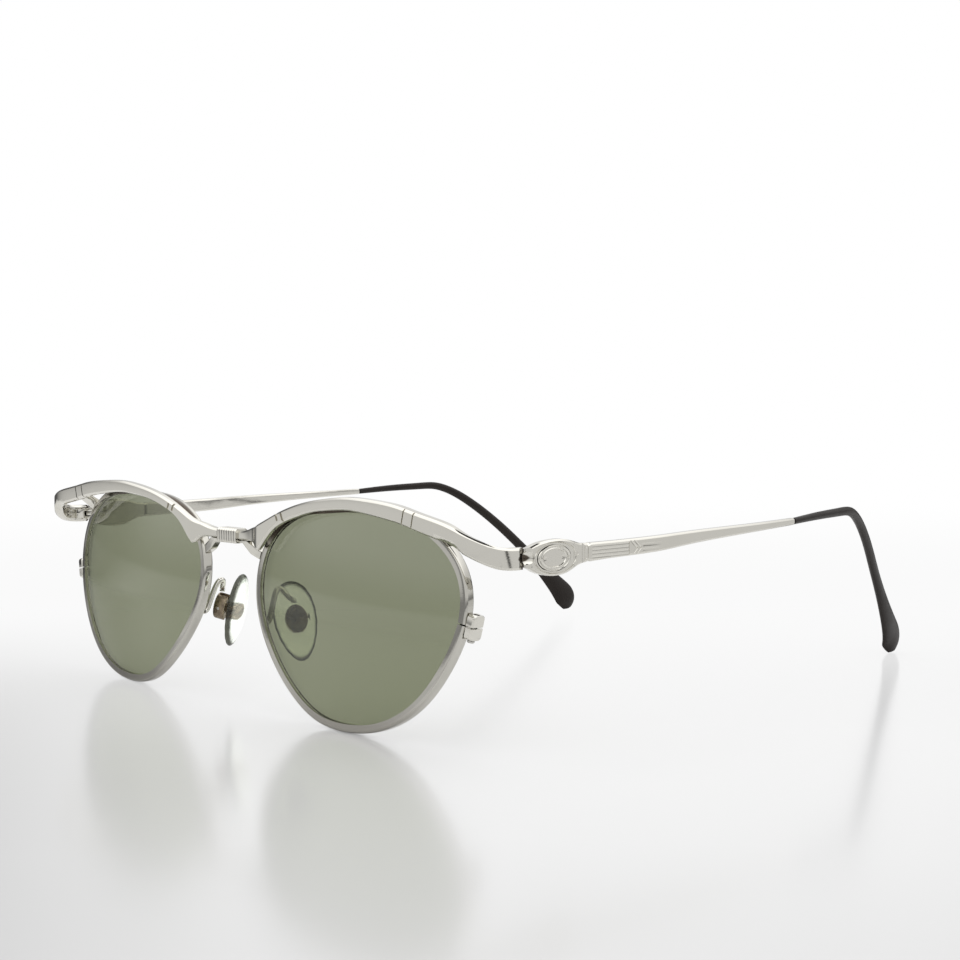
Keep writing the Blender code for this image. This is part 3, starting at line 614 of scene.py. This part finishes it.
solder_swell = 0.0002
for word in ("bridge_lug", "end_lug"):
    stub = blank_of(f"left_{word}", f"left_{word}_soldered")
    open_alone(stub)
    bpy.ops.mesh.select_all(action="SELECT")
    bpy.ops.transform.shrink_fatten(value=solder_swell)
    close(stub)
    hold_edges(stub, 0.75, radians(20), 0.75)
    smoothed(stub, 3, radians(60))
    fitted_pair(stub, sides, "bright_metal", plating, f"left_{word}")

# Pad arms: round wire soldered behind each rim, looped up and over, with a small oval box on its end
# whose slot takes the pad's ear. A cross screw holds the ear and lets the pad rock.

arm = blank_of("left_pad_arm", "left_pad_wire")
hold_edges(arm, 0.9, radians(65), 0.9)
smoothed(arm, 2, radians(60))
fitted_pair(arm, sides, "bright_metal", plating, "left_pad_arm")


def brown_and_shaded_metal(name):
    """A brown metal tone, darkened further as painted shade, for the pad boxes and cores."""
    finish = Finish(name, Metallic=1.0)
    bloom = finish.cloud(700.0, 3.0)
    brown, tan = (0.17, 0.135, 0.10, 1), (0.33, 0.27, 0.19, 1)
    finish.feed("Base Color", finish.blend(bloom.ramp(0.35, 0.7), brown, tan))
    finish.feed("Roughness", bloom.ramp(0.3, 0.7, 0.2, 0.34))
    finish.relief(bloom, 0.000012)
    return finish


brown_and_shade = brown_and_shaded_metal("brown_and_shaded_metal")
pad_slant, pad_splay = radians(17), radians(31)
pad_hinge = Vector((0.01197, -0.0619964, 0.0158671))
pad_down = Vector((sin(pad_slant), 0, -cos(pad_slant)))
pad_nose = Vector((-cos(pad_splay), sin(pad_splay), 0))
pad_nose = (pad_nose - pad_down * pad_nose.dot(pad_down)).normalized()
pad_turn = Matrix((pad_down, pad_nose.cross(pad_down), pad_nose)).transposed()
pad_place = Matrix.Translation(pad_hinge) @ pad_turn.to_4x4()

box_height, box_width, box_depth, box_slot = 0.0050, 0.0038, 0.0022, 0.0012
box_round, slot_round = 0.0003, 0.00006
bpy.ops.object.select_all(action="DESELECT")
bpy.ops.mesh.primitive_cylinder_add(
    vertices=64, radius=0.5, depth=1, scale=(box_height, box_width, box_depth)
)
pad_box = bpy.context.object
pad_box.name = pad_box.data.name = "left_pad_fork"
bpy.ops.object.transform_apply(location=True, rotation=True, scale=True)
eased(pad_box, box_round, 4, radians(60))
cut(pad_box, bar_tool((0, 0, box_depth / 4), (box_height * 1.2, box_slot, box_depth)))
eased(pad_box, slot_round, 2, radians(50))
pad_box.data.transform(pad_place)
fitted_pair(pad_box, sides, "bright_metal", brown_and_shade, "left_pad_box")

pad_screw = make_screw(
    "left_pad_pin", "left_pad_screw", head_radius=0.0006, head_height=0.0003, shank_radius=0.00026
)
fitted_pair(pad_screw, sides, "screw_steel", steel, "left_pad_screw")

# Nose pads: clear silicone drops, moulded over a small round plate whose ear stands out at the back.
# The core shows through a faint painted glow in the body, painted shade darkens the rolled edge, the skin is
# satin, and the side towards the nose is gently crowned.

pad_bodies = ("left_pad", "right_pad")
pad_length, pad_width, pad_thickness, pad_stand = 0.0143, 0.0074, 0.0025, 0.0018
pad_widening = -0.13
edge_inner, edge_outer = 0.85, 0.95


def clear_silicone(name):
    """Clear silicone with a satin skin; its rolled edge carries painted shade and its body a faint painted
    glow.
    """
    finish = Finish(name, Transmission_Weight=0.95, IOR=1.41, Emission_Strength=0.13)
    grain = finish.cloud(1400.0, 3.0)
    haze = finish.cloud(300.0, 2.0)
    place = finish.place()
    inward = finish.node("ShaderNodeCombineXYZ", values={
        0: abs(finish.along("X", place)) - pad_hinge.x, 1: finish.along("Y", place) - pad_hinge.y,
        2: finish.along("Z", place) - pad_hinge.z,
    })
    down = finish.dot(inward, pad_down) * (2 / pad_length)
    wide = finish.dot(inward, pad_down.cross(pad_nose)) / (down * pad_widening + 1.0) * (2 / pad_width)
    edge = ((down * down + wide * wide) ** 0.5 + (haze - 0.5) * 0.02).ramp(edge_inner, edge_outer)
    body = finish.blend(haze, (0.90, 0.92, 0.86, 1), (0.97, 0.98, 0.95, 1))
    # The body glows with painted light, and the rolled edge is painted dark as shade.
    dark, painted_glow, none = (0.05, 0.05, 0.038, 1), (0.92, 1.0, 0.88, 1), (0, 0, 0, 1)
    finish.feed("Base Color", finish.blend(edge, body, dark))
    finish.feed("Emission Color", finish.blend(edge, painted_glow, none))
    finish.feed("Roughness", grain.ramp(0.3, 0.7, 0.06, 0.14))
    finish.relief(grain, 0.000006)
    return finish


silicone = clear_silicone("clear_silicone")
back_start, back_share = -0.25, 0.5
lower_narrowing, upper_widening = 0.95, 1.045
bpy.ops.object.select_all(action="DESELECT")
bpy.ops.mesh.primitive_uv_sphere_add(segments=96, ring_count=64, radius=1)
pad = bpy.context.object
pad.name = pad.data.name = "left_pad_drop"
open_alone(pad)
pick(pad, "verts", lambda vert: vert.co.z < back_start)
bpy.ops.transform.resize(value=(1, 1, back_share), center_override=(0, 0, back_start))
for reach in (0.75, 0.45, 0.15):
    pick(pad, "verts", lambda vert: vert.co.x > reach)
    bpy.ops.transform.resize(value=(1, lower_narrowing, 1), center_override=(0, 0, 0))
    pick(pad, "verts", lambda vert: vert.co.x < -reach)
    bpy.ops.transform.resize(value=(1, upper_widening, 1), center_override=(0, 0, 0))
form_height = 1 - back_start + (1 + back_start) * back_share
bpy.ops.mesh.select_all(action="SELECT")
bpy.ops.transform.resize(
    value=(pad_length / 2, pad_width / 2, pad_thickness / form_height), center_override=(0, 0, 0)
)
close(pad)
low = min(vert.co.z for vert in pad.data.vertices)
pad.data.transform(pad_place @ Matrix.Translation((0, 0, pad_stand - low)))
open_alone(pad)
bpy.ops.mesh.select_all(action="SELECT")
bpy.ops.mesh.vertices_smooth(factor=0.5, repeat=2)
close(pad, radians(80))
fitted_pair(pad, pad_bodies, "pad_silicone", silicone, "left_nose_pad")

stud = blank_of("left_pad_stud", "left_pad_core")
eased(stud, slot_round, 2)
fitted_pair(stud, pad_bodies, "screw_steel", brown_and_shade, "left_pad_stud")

# Hinges: drawn leaves with knuckles, two on the front and one on the temple, soldered inside the bar
# and held by an upright screw.

hinge_radius, hinge_leaf, hinge_gap, hinge_inset, web_overlap = 0.00125, 0.0007, 0.0002, 0.0005, 0.0004
hinge_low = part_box("left_front_hinge")[0].z + hinge_inset
hinge_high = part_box("left_front_hinge")[1].z - hinge_inset
knuckle_height = (hinge_high - hinge_low - 2 * hinge_gap) / 3


def make_hinge(name, knuckles, end):
    """A leaf between the screw and its end along Y, with the knuckles of the given numbers."""
    start = hinge_axis.y + (hinge_radius + hinge_gap) * (1 if end > hinge_axis.y else -1)
    leaf_x = hinge_axis.x + hinge_radius - hinge_leaf / 2
    leaf = bar_tool(
        (leaf_x, (start + end) / 2, (hinge_low + hinge_high) / 2),
        (hinge_leaf, abs(end - start), hinge_high - hinge_low - 2 * hinge_gap),
    )
    leaf.name = leaf.data.name = name
    for number in knuckles:
        middle = hinge_low + number * (knuckle_height + hinge_gap) + knuckle_height / 2
        web = bar_tool(
            (leaf_x, (hinge_axis.y + start) / 2, middle),
            (hinge_leaf, abs(start - hinge_axis.y) + web_overlap, knuckle_height),
        )
        cut(leaf, web, "UNION")
        bpy.ops.object.select_all(action="DESELECT")
        bpy.ops.mesh.primitive_cylinder_add(
            vertices=48, radius=hinge_radius, depth=knuckle_height,
            location=(hinge_axis.x, hinge_axis.y, middle),
        )
        knuckle = bpy.context.object
        bpy.ops.object.transform_apply(location=True, rotation=True, scale=True)
        cut(leaf, knuckle, "UNION")
    return eased(leaf, slot_round, 2, radians(40))


front_hinge = make_hinge("left_front_leaf", (0, 2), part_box("left_front_hinge")[0].y)
fitted_pair(front_hinge, sides, "bright_metal", plating, "left_front_hinge")
arms = ("left_temple_arm", "right_temple_arm")
temple_hinge = make_hinge("left_temple_leaf", (1,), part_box("left_temple_hinge")[1].y)
fitted_pair(temple_hinge, arms, "bright_metal", plating, "left_temple_hinge")
screw_shortening = 0.68
hinge_screw = make_screw(
    "left_hinge_pin", "left_hinge_screw", head_radius=0.00085, head_height=0.0003, shank_radius=0.0005
)
open_alone(hinge_screw)
bpy.ops.mesh.select_all(action="SELECT")
bpy.ops.transform.resize(value=(1, 1, screw_shortening), center_override=hinge_axis)
close(hinge_screw)
fitted_pair(hinge_screw, sides, "screw_steel", steel, "left_hinge_screw")

# Temples: stamped bars with an oval head, a grooved neck, and a reeded panel on the outer side, plated
# and polished like the front.

plaque_low, plaque_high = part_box("left_temple_plaque")
plaque_middle = (plaque_low + plaque_high) / 2
bar_level = hinge_axis.z
bead_radius, bead_wire, bead_squash, bead_stand, bead_back = 0.00455, 0.00016, 0.53, 0.00004, 0.0003
neck_height = 0.004
neck_grooves = ((-0.04925, 0.00018, 0.5), (-0.04725, 0.00034, 0.75), (-0.04605, 0.00016, 0.5))
reed_count, reed_pitch, reed_start, reed_end = 4, 0.00058, -0.0452, -0.0365
reed_radius, reed_stand = 0.00095, 0.00088
chevron_starts, chevron_reach, chevron_drop = (-0.0362, -0.0353), 0.0016, 0.0013
chevron_radius, chevron_stand = 0.0003, 0.00022
flute_offset, flute_start, flute_end = 0.00042, -0.0332, -0.0185
flute_radius, flute_stand = 0.002, 0.001985
dot_radius, dot_stand = 0.00025, 0.0001
dots = ((-0.0485, 0.0), (-0.0466, 0.00085), (-0.0466, -0.00085))

temple = blank_of("left_temple", "left_temple_stamped")
hold_edges(temple, 0.6, radians(22), 1.0, radians(80))
smoothed(temple, 2, radians(40))
file_joint(temple)

bpy.ops.object.select_all(action="DESELECT")
bpy.ops.mesh.primitive_torus_add(
    major_radius=bead_radius, minor_radius=bead_wire, major_segments=160, minor_segments=12,
    location=(side_face + bead_stand, plaque_middle.y + bead_back, plaque_middle.z), rotation=(0, pi / 2, 0),
)
bpy.ops.object.transform_apply(location=True, rotation=True, scale=True)
bead = bpy.context.object
open_alone(bead)
bpy.ops.mesh.select_all(action="SELECT")
bpy.ops.transform.resize(value=(1, 1, bead_squash), center_override=plaque_middle)
close(bead)
cut(temple, bead)


def groove(stand, start, end, radius, count=32):
    """Cut a groove into the temple's outer side; start and end are places along the bar and levels."""
    x = side_face + stand
    cut(temple, rod_tool((x, start[0], bar_level + start[1]), (x, end[0], bar_level + end[1]), radius, count))


for along, radius, sunk in neck_grooves:
    groove(radius * (1 - sunk), (along, -neck_height), (along, neck_height), radius)
for number in range(reed_count):
    level = (number - (reed_count - 1) / 2) * reed_pitch
    groove(reed_stand, (reed_start, level), (reed_end, level), reed_radius, 96)
for start in chevron_starts:
    for drop in (chevron_drop, -chevron_drop):
        groove(chevron_stand, (start, drop), (start + chevron_reach, 0), chevron_radius)
for level in (flute_offset, -flute_offset):
    groove(flute_stand, (flute_start, level), (flute_end, level), flute_radius, 160)
for along, level in dots:
    cut(temple, ball_tool((side_face + dot_stand, along, bar_level + level), dot_radius))
open_alone(temple)
close(temple, radians(35))
fitted_pair(temple, arms, "bright_metal", plating, "left_temple")

# Plaques: plain ovals struck with an outer bead, an inner bead and a sunk flat middle, set in the heads
# and left without any sign or letter.

plaque_profile = (
    (0.0003, 1.0), (0.00042, 0.985), (0.00047, 0.955), (0.00047, 0.93), (0.0004, 0.905), (0.00036, 0.885),
    (0.00036, 0.81), (0.00041, 0.785), (0.00047, 0.755), (0.00048, 0.725), (0.00044, 0.695), (0.00034, 0.675),
    (0.0003, 0.665), (0.0003, 0.4),
)
plaque_dot_place, plaque_dot_rise = 0.0031, 0.0005

bpy.ops.object.select_all(action="DESELECT")
bpy.ops.mesh.primitive_circle_add(vertices=96, radius=0.5, fill_type="NGON")
plaque = bpy.context.object
plaque.name = plaque.data.name = "left_plaque_struck"
open_alone(plaque)
bpy.ops.mesh.select_all(action="SELECT")
bpy.ops.transform.resize(value=(plaque_high.y - plaque_low.y, plaque_high.z - plaque_low.z, 1))
level, size = 0.0, 1.0
for height, share in plaque_profile:
    bpy.ops.mesh.extrude_region_move(TRANSFORM_OT_translate={"value": (0, 0, height - level)})
    bpy.ops.transform.resize(value=(share / size, share / size, 1), center_override=(0, 0, height))
    level, size = height, share
close(plaque, radians(50))
plaque.data.transform(
    Matrix.Translation((plaque_low.x, plaque_middle.y, plaque_middle.z))
    @ Matrix(((0, 0, 1), (1, 0, 0), (0, 1, 0))).to_4x4()
)
for along in (-plaque_dot_place, plaque_dot_place):
    cut(plaque, ball_tool(
        (plaque_low.x + plaque_dot_rise, plaque_middle.y + along, plaque_middle.z), dot_radius
    ))
fitted_pair(plaque, arms, "bright_metal", plating, "left_temple_plaque")

# Sleeves: black-brown plastic drawn over the temple ends, bent down behind the ear, with a flat paddle
# at the tip and a satin, faintly moulded skin.


def moulded_plastic(name):
    """Black-brown plastic, satin from the mould and a little shinier where it is handled."""
    finish = Finish(name, Specular_IOR_Level=0.2)
    grain = finish.cloud(1800.0, 3.0)
    rub = finish.cloud(160.0, 3.0)
    finish.feed("Base Color", finish.blend(rub, (0.014, 0.011, 0.009, 1), (0.024, 0.019, 0.016, 1)))
    finish.feed("Roughness", rub.ramp(0.3, 0.7, 0.30, 0.42) + (grain - 0.5) * 0.1)
    finish.relief(grain, 0.00001)
    return finish


sleeve_plastic = moulded_plastic("moulded_plastic")
sleeve = blank_of("left_sleeve", "left_sleeve_drawn")
mouth_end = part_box("left_sleeve")[0].y + 0.001
open_alone(sleeve)
pick(sleeve, "edges", lambda edge: (
    edge.calc_face_angle(0.0) > radians(60) and edge.verts[0].co.y < mouth_end
))
bpy.ops.transform.edge_crease(value=0.8)
close(sleeve)
smoothed(sleeve, 2, radians(60))
fitted_pair(sleeve, arms, "sleeve_plastic", sleeve_plastic, "left_sleeve")

# The table: a white lacquered top under a clear coat, painted grey as shade near the camera and fading into
# the white backdrop on every other side. It stays part of the stage.

table_radius, table_drop = 3.0, 0.00002
camera_away = Vector((-0.7337, 0.6795, 0))
grey_until, white_from, edge_waver = -0.215, -0.085, 0.01
fade_start, fade_end = -0.14, 0.08
horizon_start, horizon_end, horizon_white = 0.1, 0.5, 0.955
around_start, around_end = 0.3, 0.7
mirror_start, mirror_end = 0.2, 0.32
thrown_start, thrown_end, thrown_near, thrown_far = 0.5, 2.2, 0.8, 0.36

bpy.ops.object.select_all(action="DESELECT")
bpy.ops.mesh.primitive_circle_add(
    vertices=128, radius=table_radius, fill_type="NGON", location=(0, 0, -table_drop)
)
table = bpy.context.object
table.name = "table_top"
bpy.ops.object.transform_apply(location=True, rotation=True, scale=True)
lacquer = Finish(
    "white_lacquer", Roughness=0.2, IOR=1.45, Coat_Weight=1.0, Coat_Roughness=0.16, Coat_IOR=1.45
)
depth = lacquer.dot(lacquer.place(), camera_away) + (lacquer.cloud(6.0) - 0.5) * edge_waver
# The top's colour runs from grey near the camera, as painted shade, to white away from it.
near_grey, far_white = (0.80, 0.80, 0.80, 1), (0.975, 0.975, 0.977, 1)
lacquer.feed("Base Color", lacquer.blend(depth.ramp(grey_until, white_from), near_grey, far_white))

thin_pole, thin_half, thin_edge = radians(10), radians(1.4), radians(3)
broad_pole, broad_half, broad_edge = radians(106), radians(9), radians(14)
side_half, side_edge = radians(16), radians(38)
pole_dark, side_dark = 0.95, 0.85


def dark_gear(recipe, place):
    """How dark the tent's poles and its shaded side are, by the way round that they stand in."""
    across, along = recipe.along("X", place), recipe.along("Y", place)
    way = along.reckon("ARCTAN2", along, across)
    thin = abs(way - thin_pole).ramp(thin_half, thin_edge, pole_dark, 0.0)
    broad = abs(way - broad_pole).ramp(broad_half, broad_edge, pole_dark, 0.0)
    side = abs(abs(way) - pi).ramp(side_half, side_edge, side_dark, 0.0)
    return thin.at_least(broad).at_least(side)


mirrored = lacquer.mirrored()
plainly = 1.0 - mirrored
seen = (lacquer.ray("Camera") + mirrored + lacquer.ray("Transmission")).at_most(1.0)
reach = lacquer.node("ShaderNodeVectorMath", {"operation": "LENGTH"}, {0: lacquer.place()}, "Value")
far = reach.ramp(around_start, around_end)
fade = depth.ramp(fade_start, fade_end).at_least(far) * plainly
fade = fade + reach.ramp(mirror_start, mirror_end) * mirrored
plain = depth.ramp(horizon_start, horizon_end, horizon_white, 1.0).at_least(far) * plainly
# In polished surfaces the table shows a painted glow in place of its lit top: light that dims with distance
# and is darker in the directions of the tent's poles and its shaded side.
thrown = reach.ramp(thrown_start, thrown_end, thrown_near, thrown_far)
thrown = (1.0 - dark_gear(lacquer, lacquer.place())) * thrown * mirrored
glow = lacquer.node("ShaderNodeEmission", values={"Color": (1, 1, 1, 1), "Strength": plain + thrown})
lacquer.close_with(lacquer.shade(fade * seen, lacquer.shader.outputs[0], glow.socket))
table.data.materials.append(lacquer.material)

# The light: a white tent, brightest high up and duller towards its foot, held up by two dark poles and a
# dark hub, with one broad soft lamp above. Only polished surfaces show the tent; the rest sees white.

hub_way = Vector((0.17, 0.2, 0.965)).normalized()
hub_edge, hub_core, hub_dark = 0.93, 0.955, 0.97
foot_glow, wall_glow, crown_glow, evenly_lit = 0.3, 0.9, 0.8, 0.84
lamp_length, lamp_width, lamp_watts, lamp_place = 0.9, 0.6, 1.2, (-0.1, 0.1, 0.9)

world = bpy.data.worlds.new("white_tent")
bpy.context.scene.world = world
world.use_nodes = True
tree = world.node_tree
tree.nodes.clear()
tent = Recipe(tree)
toward = tent.node("ShaderNodeTexCoord", output="Generated")
height = tent.along("Z", toward)
hub = tent.dot(toward, hub_way).ramp(hub_edge, hub_core, 0.0, hub_dark)
poles = dark_gear(tent, toward) * height.ramp(0.3, 0.6, 1.0, 0.0)
cloth = height.ramp(0.0, 0.15, foot_glow, wall_glow) + height.ramp(0.35, 0.8, 0.0, crown_glow)
cloth = cloth * (1.0 - hub.at_least(poles))
strength = tent.mirrored() * (cloth - evenly_lit) + evenly_lit
shown = (tent.ray("Camera") + tent.ray("Transmission")).at_most(1.0)
strength = shown * (1.0 - strength) + strength
background = tent.node("ShaderNodeBackground", values={"Color": (1, 1, 1, 1), "Strength": strength})
world_output = tree.nodes.new("ShaderNodeOutputWorld")
tree.links.new(background.socket, world_output.inputs["Surface"])

lamp_data = bpy.data.lights.new("soft_lamp", "AREA")
lamp_data.shape = "RECTANGLE"
lamp_data.size, lamp_data.size_y = lamp_length, lamp_width
lamp_data.energy = lamp_watts
lamp = bpy.data.objects.new("soft_lamp", lamp_data)
lamp.location = lamp_place
lamp.visible_glossy = False
bpy.context.collection.objects.link(lamp)

# The camera: a short telephoto view from the wearer's left, low over the table. Its place, its way and
# its lens are those that were fitted to the photograph.

camera_place = (0.243309, -0.232853, 0.055582)
camera_turn, camera_dip, camera_roll = radians(47.22), radians(3.0756), radians(-0.1123)
camera_data = bpy.data.cameras.new("camera")
camera_data.lens, camera_data.sensor_width = 61.466, 36.0
camera_data.clip_start, camera_data.clip_end = 0.01, 20.0
camera = bpy.data.objects.new("camera", camera_data)
camera.location = camera_place
aim = Euler((pi / 2 - camera_dip, 0, camera_turn)).to_matrix()
camera.rotation_euler = (aim @ Matrix.Rotation(camera_roll, 3, "Z")).to_euler()
bpy.context.collection.objects.link(camera)
bpy.context.scene.camera = camera
bpy.context.scene.view_settings.view_transform = "Standard"
